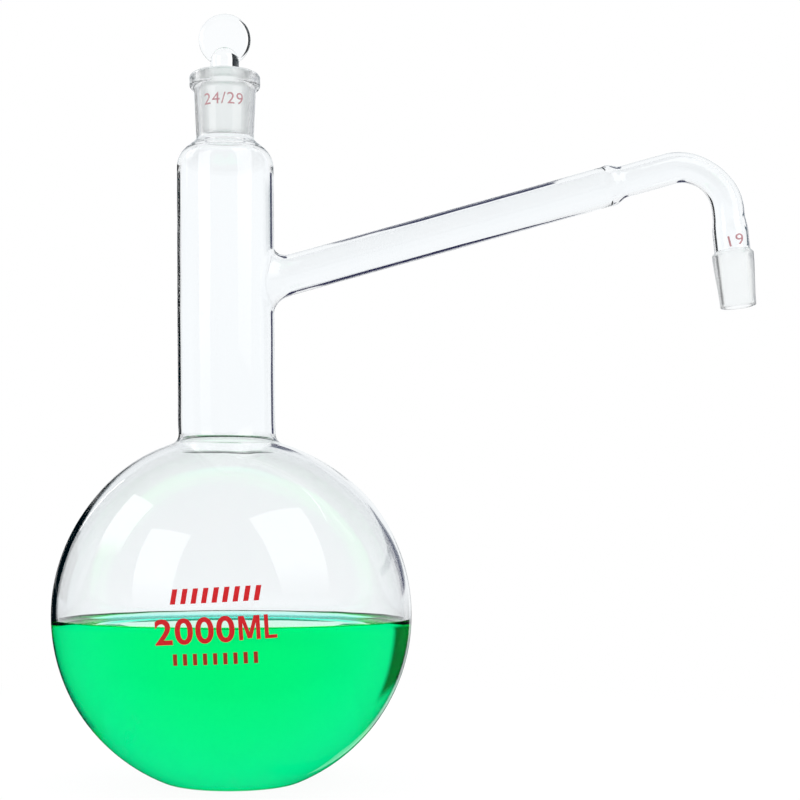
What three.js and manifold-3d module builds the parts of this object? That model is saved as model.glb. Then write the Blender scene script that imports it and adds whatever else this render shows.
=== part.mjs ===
// A 2000 ml distilling flask of borosilicate glass: a round flat-bottomed bulb with a long neck,
// a 24/29 ground socket with its stopper, and a rising side arm that is drawn down to a narrower
// delivery tube, bent downwards and ended in a 19/26 ground cone. About a litre of liquid stands
// in the bulb. Millimetres, +Z up, the origin at the centre of the flat base, the side arm
// towards +X. The glass is divided where the glassblower fused or tooled it.

import * as THREE from 'three';
import * as BufferGeometryUtils from 'three/addons/utils/BufferGeometryUtils.js';
import Module from 'manifold-3d';

const wasm = await Module();
wasm.setup();

// ---- driving dimensions -------------------------------------------------------------------

const AROUND = 40; // facets around the bulb, neck and socket
const AROUND_ARM = 24; // facets around the side arm and all that follows it
const FUSE_GAP = 0.3; // clearance where two turned sections of glass meet

const BULB_RADIUS = 83;
const BULB_WALL = 2.5;
const BASE_RADIUS = 30; // the flat that the flask stands on
const BASE_THICKNESS = 3;

const NECK_RADIUS = 22.5;
const NECK_WALL = 1.7;
const NECK_FOOT = 162; // where the bulb's throat becomes the straight neck
const THROAT_FILLET = 5;
const NECK_HEAD = 284; // where the straight neck starts to close in

const SHOULDER_RADIUS = 11;
const SHOULDER_SWEEP = THREE.MathUtils.degToRad(50);
const SHOULDER_WALL = 1.8;

const SOCKET_FOOT = 299;
const SOCKET_LENGTH = 29; // the ground length of a 24/29 joint
const SOCKET_WIDE = 12; // bore radius at the mouth
const SOCKET_NARROW = 10.55; // bore radius at the foot: a taper of 1 in 10 on the diameter
const SOCKET_OUTER_FOOT = 13.4;
const SOCKET_OUTER_HEAD = 14.4;
const RIM_RADIUS = 16.45;
const RIM_HEIGHT = 6;

const PLUG_CLEARANCE = 0.05;
const PLUG_FOOT = 300;
const PLUG_TOP = 328.6;
const STEM_RADIUS = 6.65;
const STEM_DOME_BASE = 335;
const HEAD_RADIUS = 12.1;
const HEAD_THICKNESS = 5.4;
const HEAD_CENTRE = 344.8;
const HEAD_DISH = 0.7; // depth of the shallow dish pressed into each face of the head

const ARM_RISE = THREE.MathUtils.degToRad(15.6);
const ARM_CROSSING = 226.6; // height at which the arm's axis meets the neck's axis
const ARM_RADIUS = 9.15;
const ARM_BORE = 7.65;
const FLARE_REACH = 8; // how far the flare runs out along the arm
const FLARE_SPREAD = 5.2; // how far it spreads over the neck
const FLARE_END = 38; // distances along the arm, from the neck's axis
const ARM_END = 183.5;
const REDUCER_END = 191.5;

const TUBE_RADIUS = 7.3;
const TUBE_BORE = 5.9;
const BEND_RADIUS = 22;
const ARM_TO_CORNER = 240.2; // along the arm to the corner where the two straight axes would meet
const LEG_LEAN = THREE.MathUtils.degToRad(5.6); // the down leg, away from the neck
const LEG_RADIUS = 8.1;
const LEG_BORE = 6.2;
const LEG_LENGTH = 45; // from the corner to the top of the cone
const CONE_LENGTH = 26.5;
const CONE_WIDE = 9.4; // the 19/26 cone's outer radius at its top
const CONE_NARROW = 8.1;

const LIQUID_LEVEL = 73;
const LIQUID_GAP = 0.5;

// ---- colours and finishes -----------------------------------------------------------------

const CLEAR = { color: 0xe4f1f0, roughness: 0.04, metalness: 0 };
const GROUND = { color: 0xe9edec, roughness: 0.7, metalness: 0 };
const GREEN = { color: 0x00e878, roughness: 0.05, metalness: 0 };

// ---- helpers ------------------------------------------------------------------------------

// Points on an arc in a lathe's outline: x is the radius and y is the height.
function arc(x, y, radius, from, to, steps) {
  const points = [];
  for (let i = 0; i <= steps; i += 1) {
    const angle = from + ((to - from) * i) / steps;
    points.push(new THREE.Vector2(x + radius * Math.cos(angle), y + radius * Math.sin(angle)));
  }
  return points;
}

function at(x, y) {
  return new THREE.Vector2(x, y);
}

// A solid of revolution about +Z. The outline runs anticlockwise, with the axis on its left
// side, and closes on itself.
function turned(outline, around) {
  const geometry = new THREE.LatheGeometry([...outline, outline[0].clone()], around);
  geometry.rotateX(Math.PI / 2);
  return welded(geometry);
}

function welded(geometry) {
  geometry.deleteAttribute('normal');
  geometry.deleteAttribute('uv');
  return BufferGeometryUtils.mergeVertices(geometry, 1e-4);
}

function toSolid(geometry) {
  return new wasm.Manifold(
    new wasm.Mesh({
      numProp: 3,
      vertProperties: new Float32Array(geometry.attributes.position.array),
      triVerts: new Uint32Array(geometry.index.array),
    }),
  );
}

function toGeometry(solid) {
  const mesh = solid.getMesh();
  const geometry = new THREE.BufferGeometry();
  geometry.setAttribute('position', new THREE.BufferAttribute(mesh.vertProperties, 3));
  geometry.setIndex(new THREE.BufferAttribute(mesh.triVerts, 1));
  return geometry;
}

function piece(name, geometry, finish) {
  const mesh = new THREE.Mesh(geometry, new THREE.MeshStandardMaterial(finish));
  mesh.name = name;
  return mesh;
}

// ---- bulb and neck ------------------------------------------------------------------------

const bulbCentre = Math.sqrt(BULB_RADIUS ** 2 - BASE_RADIUS ** 2);

// One wall of the bulb: from the rim of its flat floor, round the sphere, and through the
// concave throat fillet up to the neck.
function bulbWall(radius, floor, neck, fillet) {
  const filletX = neck + fillet;
  const lift = Math.sqrt((radius + fillet) ** 2 - filletX ** 2);
  const floorAngle = Math.asin((floor - bulbCentre) / radius);
  const throatAngle = Math.atan2(lift, filletX);
  return [
    ...arc(0, bulbCentre, radius, floorAngle, throatAngle, 14),
    ...arc(filletX, bulbCentre + lift, fillet, throatAngle + Math.PI, Math.PI, 3).slice(1),
    at(neck, NECK_FOOT),
  ];
}

function bulb() {
  const neckBore = NECK_RADIUS - NECK_WALL;
  const outer = bulbWall(BULB_RADIUS, 0, NECK_RADIUS, THROAT_FILLET);
  const inner = bulbWall(BULB_RADIUS - BULB_WALL, BASE_THICKNESS, neckBore, THROAT_FILLET + NECK_WALL);
  const outline = [at(0, 0), ...outer, ...inner.reverse(), at(0, BASE_THICKNESS)];
  return turned(outline, AROUND);
}

function liquid() {
  const radius = BULB_RADIUS - BULB_WALL - LIQUID_GAP;
  const floor = BASE_THICKNESS + LIQUID_GAP;
  const from = Math.asin((floor - bulbCentre) / radius);
  const to = Math.asin((LIQUID_LEVEL - bulbCentre) / radius);
  const outline = [at(0, floor), ...arc(0, bulbCentre, radius, from, to, 9), at(0, LIQUID_LEVEL)];
  return turned(outline, AROUND);
}

function neckTube() {
  const bore = NECK_RADIUS - NECK_WALL;
  const tube = turned(
    [at(bore, NECK_FOOT), at(NECK_RADIUS, NECK_FOOT), at(NECK_RADIUS, NECK_HEAD), at(bore, NECK_HEAD)],
    AROUND,
  );
  const drill = new THREE.CylinderGeometry(ARM_BORE, ARM_BORE, 2 * NECK_RADIUS, AROUND_ARM);
  drill.rotateX(Math.PI / 2);
  drill.translate(0, 0, NECK_RADIUS);
  drill.applyMatrix4(armFrame());
  return toGeometry(toSolid(tube).subtract(toSolid(welded(drill))));
}

// The neck closes in over a rounded shoulder, and a concave fillet leads into the socket.
function shoulder() {
  const centreX = NECK_RADIUS - SHOULDER_RADIUS;
  const centreZ = NECK_HEAD + 0.8;
  const fillet = 3;
  const filletX = SOCKET_OUTER_FOOT + fillet;
  const deepFillet = filletX - SOCKET_NARROW;
  const underSide = Math.PI + SHOULDER_SWEEP;
  const outer = [
    at(NECK_RADIUS, NECK_HEAD),
    ...arc(centreX, centreZ, SHOULDER_RADIUS, 0, SHOULDER_SWEEP, 5),
    ...arc(filletX, SOCKET_FOOT, fillet, underSide, Math.PI, 3),
  ];
  const inner = [
    at(NECK_RADIUS - NECK_WALL, NECK_HEAD),
    ...arc(centreX, centreZ, SHOULDER_RADIUS - SHOULDER_WALL, 0, SHOULDER_SWEEP, 5),
    ...arc(filletX, SOCKET_FOOT, deepFillet, underSide, Math.PI, 3),
  ];
  return turned([...outer, ...inner.reverse()], AROUND);
}

function socket() {
  const top = SOCKET_FOOT + SOCKET_LENGTH;
  const rimFoot = top - RIM_HEIGHT;
  const edge = 1.3;
  const outline = [
    at(SOCKET_NARROW, SOCKET_FOOT),
    at(SOCKET_OUTER_FOOT, SOCKET_FOOT),
    at(SOCKET_OUTER_HEAD, rimFoot - 0.6),
    at(SOCKET_OUTER_HEAD + 0.5, rimFoot),
    ...arc(RIM_RADIUS - edge, rimFoot + edge, edge, -Math.PI / 2, 0, 3),
    ...arc(RIM_RADIUS - edge, top - edge, edge, 0, Math.PI / 2, 3),
    at(SOCKET_WIDE, top),
  ];
  return turned(outline, AROUND);
}

// ---- stopper ------------------------------------------------------------------------------

// The head is a flat round grip that stands in the plane of the side arm, with a rounded edge
// and a shallow dish in each face.
function head(growth) {
  const half = HEAD_THICKNESS / 2 + growth;
  const radius = HEAD_RADIUS + growth;
  const edge = half - 0.4;
  const dishRadius = radius - edge - 1.2;
  const outline = [
    at(0, -half + HEAD_DISH),
    at(dishRadius * 0.6, -half + HEAD_DISH * 0.8),
    at(dishRadius, -half),
    ...arc(radius - edge, -half + edge, edge, -Math.PI / 2, 0, 4),
    ...arc(radius - edge, half - edge, edge, 0, Math.PI / 2, 4),
    at(dishRadius, half),
    at(dishRadius * 0.6, half - HEAD_DISH * 0.8),
    at(0, half - HEAD_DISH),
  ];
  const geometry = turned(outline, AROUND);
  geometry.rotateX(Math.PI / 2);
  geometry.translate(0, 0, HEAD_CENTRE);
  return geometry;
}

// The ground plug and its stem are one solid, with a slot that the head grows out of.
function plug() {
  const slope = (SOCKET_WIDE - SOCKET_NARROW) / SOCKET_LENGTH;
  const radiusAt = (z) => SOCKET_NARROW + slope * (z - SOCKET_FOOT) - PLUG_CLEARANCE;
  const outline = [
    at(0, PLUG_FOOT),
    at(radiusAt(PLUG_FOOT) - 1, PLUG_FOOT),
    at(radiusAt(PLUG_FOOT + 1), PLUG_FOOT + 1),
    at(radiusAt(PLUG_TOP), PLUG_TOP),
    at(STEM_RADIUS + 1.6, PLUG_TOP + 1.6),
    at(STEM_RADIUS, PLUG_TOP + 3.4),
    ...arc(0, STEM_DOME_BASE, STEM_RADIUS, 0, Math.PI / 2, 5),
  ];
  return toGeometry(toSolid(turned(outline, AROUND)).subtract(toSolid(head(FUSE_GAP))));
}

// ---- side arm and delivery tube -----------------------------------------------------------

// The arm's own frame: +Z runs along the arm from the neck's axis, and +X points downwards.
function armFrame() {
  const turn = new THREE.Matrix4().makeRotationY(Math.PI / 2 - ARM_RISE);
  return turn.setPosition(0, 0, ARM_CROSSING);
}

// The distance along the arm at which a point off its axis touches the neck's outside.
function seat(below, aside) {
  const neck = NECK_RADIUS + FUSE_GAP;
  return (Math.sqrt(neck ** 2 - aside ** 2) - below * Math.sin(ARM_RISE)) / Math.cos(ARM_RISE);
}

// The trumpet by which the arm is fused to the neck. It is turned on a flat seat, and each
// ring is then slid along the arm, so that the foot follows the neck.
function flare() {
  const foot = [at(ARM_BORE, 0), at((ARM_BORE + ARM_RADIUS + FLARE_SPREAD) / 2, 0)];
  const sweep = [];
  for (let i = 1; i <= 6; i += 1) {
    const angle = (i / 6) * (Math.PI / 2);
    sweep.push(
      at(ARM_RADIUS + FLARE_SPREAD * (1 - Math.sin(angle)), FLARE_REACH * (1 - Math.cos(angle))),
    );
  }
  const lip = at(sweep[0].x, 0);
  const height = 12;
  const geometry = turned([...foot, lip, ...sweep, at(ARM_RADIUS, height), at(ARM_BORE, height)], AROUND_ARM);
  const position = geometry.attributes.position;
  for (let i = 0; i < position.count; i += 1) {
    const along = position.getZ(i) / height;
    const base = seat(position.getX(i), position.getY(i));
    position.setZ(i, base + along * (FLARE_END - base));
  }
  return geometry;
}

function arm() {
  const start = FLARE_END + FUSE_GAP;
  return turned(
    [at(ARM_BORE, start), at(ARM_RADIUS, start), at(ARM_RADIUS, ARM_END), at(ARM_BORE, ARM_END)],
    AROUND_ARM,
  );
}

// The arm is drawn down to the delivery tube through a thickened ring of fused glass.
function reducer() {
  const start = ARM_END + FUSE_GAP;
  const bead = start + 2.2;
  const outline = [
    at(ARM_BORE, start),
    at(ARM_RADIUS, start),
    at(ARM_RADIUS + 0.4, bead),
    at(ARM_RADIUS - 0.1, bead + 1.8),
    at(TUBE_RADIUS + 0.5, REDUCER_END - 1.4),
    at(TUBE_RADIUS, REDUCER_END),
    at(TUBE_BORE, REDUCER_END),
    at(TUBE_BORE + 0.3, REDUCER_END - 1.8),
    at(ARM_BORE - 0.7, bead + 1.6),
  ];
  return turned(outline, AROUND_ARM);
}

// The delivery tube's axis: straight on from the arm, then round the bend into the down leg.
class BentAxis extends THREE.Curve {
  constructor(lead, sweep, tail) {
    super();
    this.lead = lead;
    this.sweep = sweep;
    this.tail = tail;
  }

  getPoint(t, target = new THREE.Vector3()) {
    const round = BEND_RADIUS * this.sweep;
    const run = t * (this.lead + round + this.tail);
    const angle = THREE.MathUtils.clamp((run - this.lead) / BEND_RADIUS, 0, this.sweep);
    const before = Math.min(run, this.lead);
    const after = Math.max(run - this.lead - round, 0);
    return target.set(
      BEND_RADIUS * (1 - Math.cos(angle)) + after * Math.sin(angle),
      0,
      before + BEND_RADIUS * Math.sin(angle) + after * Math.cos(angle),
    );
  }
}

const bendSweep = Math.PI / 2 + ARM_RISE - LEG_LEAN;
const cornerToBend = BEND_RADIUS * Math.tan(bendSweep / 2);
const bendTail = 3; // the straight stub after the bend, where the leg is fused on

function bend() {
  const start = REDUCER_END + FUSE_GAP;
  const section = new THREE.Shape();
  section.absarc(0, 0, TUBE_RADIUS, 0, 2 * Math.PI);
  const hole = new THREE.Path();
  hole.absarc(0, 0, TUBE_BORE, 0, 2 * Math.PI);
  section.holes.push(hole);
  const geometry = new THREE.ExtrudeGeometry(section, {
    steps: 15,
    curveSegments: AROUND_ARM / 2,
    bevelEnabled: false,
    extrudePath: new BentAxis(ARM_TO_CORNER - cornerToBend - start, bendSweep, bendTail),
  });
  geometry.translate(0, 0, start);
  return welded(geometry);
}

// The leg widens to the cone's neck.
function leg() {
  const start = cornerToBend + bendTail + FUSE_GAP;
  const outline = [
    at(TUBE_BORE, start),
    at(TUBE_RADIUS, start),
    at(LEG_RADIUS, start + 7),
    at(LEG_RADIUS, LEG_LENGTH),
    at(LEG_BORE, LEG_LENGTH),
    at(LEG_BORE, start + 7),
  ];
  return turned(outline, AROUND_ARM);
}

function cone() {
  const start = LEG_LENGTH + FUSE_GAP;
  const end = LEG_LENGTH + CONE_LENGTH;
  const outline = [
    at(LEG_BORE, start),
    at(LEG_RADIUS, start),
    at(CONE_WIDE - 0.2, start + 1),
    at(CONE_WIDE, start + 2),
    at(CONE_NARROW, end),
    at(LEG_BORE, end),
  ];
  return turned(outline, AROUND_ARM);
}

// ---- assembly -----------------------------------------------------------------------------

const flask = new THREE.Group();
flask.add(
  piece('bulb', bulb(), CLEAR),
  piece('neck_tube', neckTube(), CLEAR),
  piece('neck_shoulder', shoulder(), CLEAR),
  piece('neck_socket', socket(), GROUND),
  piece('liquid', liquid(), GREEN),
);

const sideArm = new THREE.Group();
sideArm.applyMatrix4(armFrame());
sideArm.add(
  piece('arm_flare', flare(), CLEAR),
  piece('side_arm', arm(), CLEAR),
  piece('arm_reducer', reducer(), CLEAR),
  piece('delivery_bend', bend(), CLEAR),
);

const downLeg = new THREE.Group();
downLeg.position.z = ARM_TO_CORNER;
downLeg.rotation.y = bendSweep;
downLeg.add(piece('delivery_leg', leg(), CLEAR), piece('ground_cone', cone(), GROUND));
sideArm.add(downLeg);

const stopper = new THREE.Group();
stopper.add(piece('stopper_plug', plug(), GROUND), piece('stopper_head', head(0), CLEAR));

const distillingFlask = new THREE.Group();
distillingFlask.add(flask, sideArm, stopper);

export default distillingFlask;
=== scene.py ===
# A 2000 ml distilling flask of clear glass, half filled with a green liquid, with its stopper
# in the socket. Lengths are in millimetres until a mesh is made, and metres after that. +Z is
# up and the side arm points towards +X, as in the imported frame.

import math

import bmesh
import bpy
import numpy as np
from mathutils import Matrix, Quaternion, Vector, noise


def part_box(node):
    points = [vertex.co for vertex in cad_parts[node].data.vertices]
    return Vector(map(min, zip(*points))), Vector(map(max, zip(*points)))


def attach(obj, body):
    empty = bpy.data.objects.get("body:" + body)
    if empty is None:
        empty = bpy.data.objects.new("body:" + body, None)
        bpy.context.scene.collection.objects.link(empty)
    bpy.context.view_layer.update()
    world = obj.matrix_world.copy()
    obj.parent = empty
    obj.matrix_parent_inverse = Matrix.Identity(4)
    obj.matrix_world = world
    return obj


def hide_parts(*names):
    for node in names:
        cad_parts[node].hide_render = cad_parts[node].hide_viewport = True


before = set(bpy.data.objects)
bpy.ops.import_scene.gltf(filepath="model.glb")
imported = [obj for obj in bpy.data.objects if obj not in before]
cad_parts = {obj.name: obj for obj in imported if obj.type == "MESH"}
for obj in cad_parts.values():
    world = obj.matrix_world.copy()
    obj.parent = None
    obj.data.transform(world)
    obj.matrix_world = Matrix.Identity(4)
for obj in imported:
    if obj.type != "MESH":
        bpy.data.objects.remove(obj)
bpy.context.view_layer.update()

MM = 0.001
noise.seed_set(1)  # unseeded, the waves in the glass would follow the clock


def extent(node):
    """Lowest and highest corner of a CAD node in millimetres, without the loss to its facets."""
    return [[round(20 * c / MM) / 20 for c in corner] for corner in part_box(node)]


# ---- sizes --------------------------------------------------------------------------------

COLUMNS = 144  # points in a ring around the flask's axis
PATCH_HALF = COLUMNS // 6  # columns on each side of the side arm that make way for it
ARM_COLUMNS = 8 * PATCH_HALF  # points in a ring around the side arm

BULB_RADIUS = extent("bulb")[1][0]
BULB_WALL = 2.5
BASE_THICKNESS = 3.0
BASE_FLAT = 30.0
BASE_EDGE = 14.0  # rounding between the flat base and the sphere
BASE_PUNT = 0.9  # how far the middle of the base is pushed up
BULB_CENTRE = math.sqrt(BULB_RADIUS**2 - BASE_FLAT**2)

NECK_RADIUS = extent("neck_tube")[1][0]
NECK_WALL = 1.7
NECK_HEAD = extent("neck_tube")[1][2]
THROAT_FILLET = 5.0

SHOULDER_RADIUS = 11.0
SHOULDER_WALL = 1.8
SHOULDER_SWEEP = math.radians(50)
SHOULDER_FILLET = 3.0

SOCKET_FOOT, SOCKET_TOP = extent("neck_socket")[0][2], extent("neck_socket")[1][2]
SOCKET_WIDE = 12.0
SOCKET_NARROW = 10.55
SOCKET_OUTER_FOOT = 13.4
SOCKET_OUTER_HEAD = 14.4
RIM_RADIUS = extent("neck_socket")[1][0]
RIM_HEIGHT = 6.0
RIM_EDGE = 1.3

PLUG_FOOT = extent("stopper_plug")[0][2]
PLUG_TOP = 328.6
PLUG_CLEARANCE = 0.05
STEM_RADIUS = 6.65
STEM_APEX = extent("stopper_plug")[1][2]
HEAD_RADIUS = extent("stopper_head")[1][0]
HEAD_HALF = extent("stopper_head")[1][1]
HEAD_CENTRE = extent("stopper_head")[1][2] - HEAD_RADIUS

ARM_RISE = math.radians(15.6)
ARM_CROSSING = 226.6  # height at which the arm's axis meets the neck's axis
ARM_RADIUS = 9.15
ARM_BORE = 7.65
FLARE_REACH = 8.5
FLARE_SPREAD = 5.6
FLARE_END = 38.0
ARM_END = 183.5
REDUCER_END = 191.5
TUBE_RADIUS = 7.3
TUBE_BORE = 5.9
BEND_RADIUS = 22.0
BEND_FLATTENING = 0.12  # share of its width that the tube loses at the middle of the bend
ARM_TO_CORNER = 240.2
LEG_LEAN = math.radians(5.6)
LEG_RADIUS = 8.1
LEG_BORE = 6.2
LEG_LENGTH = 45.0
CONE_LENGTH = 26.5
CONE_WIDE = 9.4
CONE_NARROW = 8.1

LIQUID_LEVEL = extent("liquid")[1][2]
LIQUID_OVERLAP = 0.4  # the liquid reaches this far into the glass, so that no air is left between
MENISCUS_HEIGHT = 2.6
MENISCUS_WIDTH = 2.2

NECK_LEAN = math.radians(0.32)  # towards -X
LEAN_FROM = 150.0
BULB_RUNOUT = 2.7  # how far the bulb is off the neck's axis, towards +X
RUNOUT_LOW, RUNOUT_HIGH = 125.0, 170.0  # the heights between which that runout fades

CLEAR, GROUND = 0, 1


def between(value, start, end):
    """How far a value is from start to end, held between 0 and 1."""
    return min(max((value - start) / (end - start), 0), 1)


def out_of_true(point):
    """Moves a point as the real flask is: its neck leans and its bulb is off the neck's axis."""
    x, y, z = point
    share = between(z, RUNOUT_HIGH, RUNOUT_LOW)
    runout = BULB_RUNOUT * share * share * (3 - 2 * share)
    return x + runout - max(z - LEAN_FROM, 0) * math.tan(NECK_LEAN), y, z


# ---- outlines -----------------------------------------------------------------------------


def arc(x, y, radius, start, end, spacing):
    """Points about spacing apart on an arc, both ends included. Angles are in radians."""
    steps = max(3, round(abs(end - start) * radius / spacing))
    turns = np.linspace(start, end, steps + 1)
    return [(x + radius * math.cos(a), y + radius * math.sin(a)) for a in turns]


def line(start, end, spacing):
    """Points about spacing apart on a straight line, both ends included."""
    steps = max(1, round(math.dist(start, end) / spacing))
    shares = np.linspace(0, 1, steps + 1)
    return [tuple(np.add(start, np.multiply(s, np.subtract(end, start)))) for s in shares]


def chain(*parts):
    """One outline from several, without the points that two neighbours share."""
    points = []
    for part in parts:
        for point in part:
            if not points or math.dist(points[-1], point) > 1e-6:
                points.append(point)
    return points


def bulb_wall(radius, floor, punt, edge, neck, fillet):
    """One wall of the bulb, from the middle of its floor to the foot of the neck."""
    edge_x = math.sqrt((radius - edge) ** 2 - (BULB_CENTRE - floor - edge) ** 2)
    edge_angle = math.atan2(floor + edge - BULB_CENTRE, edge_x)
    fillet_x = neck + fillet
    lift = math.sqrt((radius + fillet) ** 2 - fillet_x**2)
    throat_angle = math.atan2(lift, fillet_x)
    floor_steps = np.linspace(0, edge_x, 12)
    return chain(
        [(x, floor + punt * (0.5 + 0.5 * math.cos(math.pi * x / edge_x))) for x in floor_steps],
        arc(edge_x, floor + edge, edge, -math.pi / 2, edge_angle, 1.0),
        arc(0, BULB_CENTRE, radius, edge_angle, throat_angle, 3.6),
        arc(fillet_x, BULB_CENTRE + lift, fillet, throat_angle + math.pi, math.pi, 0.8),
    )


def neck_wall(radius, low, patch_low, patch_high, high):
    """One wall of the neck. The rows between the patch's ends are those the side arm replaces."""
    rows = np.linspace(patch_low, patch_high, 2 * PATCH_HALF + 1)
    return chain(
        line((radius, low), (radius, patch_low), 3.0),
        [(radius, z) for z in rows],
        line((radius, patch_high), (radius, high), 3.0),
    )


def shoulder_wall(radius, fillet):
    """One wall of the shoulder, from the neck up to the foot of the socket."""
    centre_z = NECK_HEAD + 0.8
    under_side = math.pi + SHOULDER_SWEEP
    fillet_x = SOCKET_OUTER_FOOT + SHOULDER_FILLET
    return chain(
        arc(NECK_RADIUS - SHOULDER_RADIUS, centre_z, radius, 0, SHOULDER_SWEEP, 0.9),
        arc(fillet_x, SOCKET_FOOT, fillet, under_side, math.pi, 0.4),
    )


def socket_outside():
    rim_foot = SOCKET_TOP - RIM_HEIGHT
    edge_x = RIM_RADIUS - RIM_EDGE
    return chain(
        line((SOCKET_OUTER_FOOT, SOCKET_FOOT), (SOCKET_OUTER_HEAD, rim_foot - 1.0), 2.0),
        line((SOCKET_OUTER_HEAD, rim_foot - 1.0), (SOCKET_OUTER_HEAD + 0.55, rim_foot - 0.1), 0.4),
        arc(edge_x, rim_foot + RIM_EDGE, RIM_EDGE, math.radians(-80), 0, 0.3),
        arc(edge_x, SOCKET_TOP - RIM_EDGE, RIM_EDGE, 0, math.radians(86), 0.3),
    )


def socket_bore():
    edge = 0.5
    mouth_x = SOCKET_WIDE + edge
    return chain(
        arc(mouth_x, SOCKET_TOP - edge, edge, math.pi / 2, math.pi, 0.2),
        line((SOCKET_WIDE, SOCKET_TOP - edge), (SOCKET_NARROW, SOCKET_FOOT), 2.0),
    )


# ---- skins --------------------------------------------------------------------------------


class Skin:
    """A mesh in the making, from rings of points in millimetres that are joined by quads."""

    def __init__(self):
        self.points = []
        self.faces = []
        self.kinds = []

    def ring(self, points):
        first = len(self.points)
        self.points.extend(points)
        return list(range(first, len(self.points)))

    def band(self, one, other, kind=CLEAR, gap=()):
        """Quads between two closed rings, apart from those that start at the columns in gap."""
        count = len(one)
        for i in range(count):
            if i not in gap:
                j = (i + 1) % count
                self.faces.append((one[i], one[j], other[j], other[i]))
                self.kinds.append(kind)

    def cap(self, ring, centre, kind=CLEAR):
        middle = self.ring([centre])[0]
        for i, point in enumerate(ring):
            self.faces.append((middle, ring[(i + 1) % len(ring)], point))
            self.kinds.append(kind)

    def lathe(self, outline, columns, kinds=None):
        """Turns an outline about +Z. An end that lies on the axis is closed with a fan."""
        angles = np.linspace(0, 2 * math.pi, columns, endpoint=False)
        rings = []
        for r, z in outline:
            if r > 1e-6:
                rings.append(self.ring([(r * math.cos(a), r * math.sin(a), z) for a in angles]))
        for i in range(len(rings) - 1):
            self.band(rings[i], rings[i + 1], kinds(i) if kinds else CLEAR)
        if outline[0][0] <= 1e-6:
            self.cap(rings[0], (0, 0, outline[0][1]))
        if outline[-1][0] <= 1e-6:
            self.cap(rings[-1], (0, 0, outline[-1][1]))
        return rings

    def build(self, name, materials):
        """The mesh as an object in metres, with its faces turned outwards and shaded smooth."""
        mesh = bpy.data.meshes.new(name)
        mesh.from_pydata([(x * MM, y * MM, z * MM) for x, y, z in self.points], [], self.faces)
        mesh.polygons.foreach_set("material_index", self.kinds)
        for material in materials:
            mesh.materials.append(material)
        shell = bmesh.new()
        shell.from_mesh(mesh)
        bmesh.ops.recalc_face_normals(shell, faces=shell.faces)
        shell.to_mesh(mesh)
        shell.free()
        mesh.shade_smooth()
        piece = bpy.data.objects.new(name, mesh)
        bpy.context.scene.collection.objects.link(piece)
        return piece


# ---- side arm -----------------------------------------------------------------------------


def arm_point(along, radius, turn):
    """A point at a distance along the arm's axis. At turn 0 it is above the axis, then +Y."""
    up = radius * math.cos(turn)
    x = along * math.cos(ARM_RISE) - up * math.sin(ARM_RISE)
    z = ARM_CROSSING + along * math.sin(ARM_RISE) + up * math.cos(ARM_RISE)
    return x, radius * math.sin(turn), z


def seat(neck, radius, turn):
    """How far along the arm a point beside its axis meets the neck's wall."""
    depth = math.sqrt(neck**2 - (radius * math.sin(turn)) ** 2)
    return (depth + radius * math.cos(turn) * math.sin(ARM_RISE)) / math.cos(ARM_RISE)


def patch_edge(rows):
    """The rim of the hole that the arm needs in the neck's rows, from above its middle to +Y."""
    half = PATCH_HALF
    last = 2 * half
    top = [(last, c) for c in range(half)]
    right = [(last - r, half) for r in range(last)]
    bottom = [(0, half - c) for c in range(last)]
    left = [(r, -half) for r in range(last)]
    top_left = [(last, c) for c in range(-half, 0)]
    return [rows[r][c % COLUMNS] for r, c in top + right + bottom + left + top_left]


def bend_sweep():
    return math.pi / 2 + ARM_RISE - LEG_LEAN


def corner_to_bend():
    return BEND_RADIUS * math.tan(bend_sweep() / 2)


def tube_station(run):
    """Centre and heading of the tube's axis, at a distance along it from the neck's axis."""
    bend_start = ARM_TO_CORNER - corner_to_bend()
    straight = min(run, bend_start)
    turned = min(max(run - bend_start, 0) / BEND_RADIUS, bend_sweep())
    after = max(run - bend_start - BEND_RADIUS * bend_sweep(), 0)
    heading = ARM_RISE - turned
    side_start = Vector((-math.sin(ARM_RISE), math.cos(ARM_RISE)))
    side_now = Vector((-math.sin(heading), math.cos(heading)))
    centre = Vector((0, ARM_CROSSING)) + straight * Vector((math.cos(ARM_RISE), math.sin(ARM_RISE)))
    centre += BEND_RADIUS * (side_now - side_start)
    centre += after * Vector((math.cos(heading), math.sin(heading)))
    squash = 1 - BEND_FLATTENING * math.sin(math.pi * turned / bend_sweep()) ** 2
    return centre, side_now, squash


def tube_ring(run, radius):
    centre, side, squash = tube_station(run)
    points = []
    for turn in np.linspace(0, 2 * math.pi, ARM_COLUMNS, endpoint=False):
        up = radius * squash * math.cos(turn)
        points.append((centre.x + up * side.x, radius * math.sin(turn), centre.y + up * side.y))
    return points


def eased(keys, run):
    """A radius between keys of (run, radius), with no corner at a key."""
    for (a, low), (b, high) in zip(keys, keys[1:]):
        if run <= b:
            share = between(run, a, b)
            return low + (high - low) * share * share * (3 - 2 * share)
    return keys[-1][1]


def from_corner(length):
    """Distance along the tube's axis of a point on the down leg, given its distance from the
    corner where the two straight axes would meet."""
    bend_start = ARM_TO_CORNER - corner_to_bend()
    return bend_start + BEND_RADIUS * bend_sweep() + length - corner_to_bend()


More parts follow.
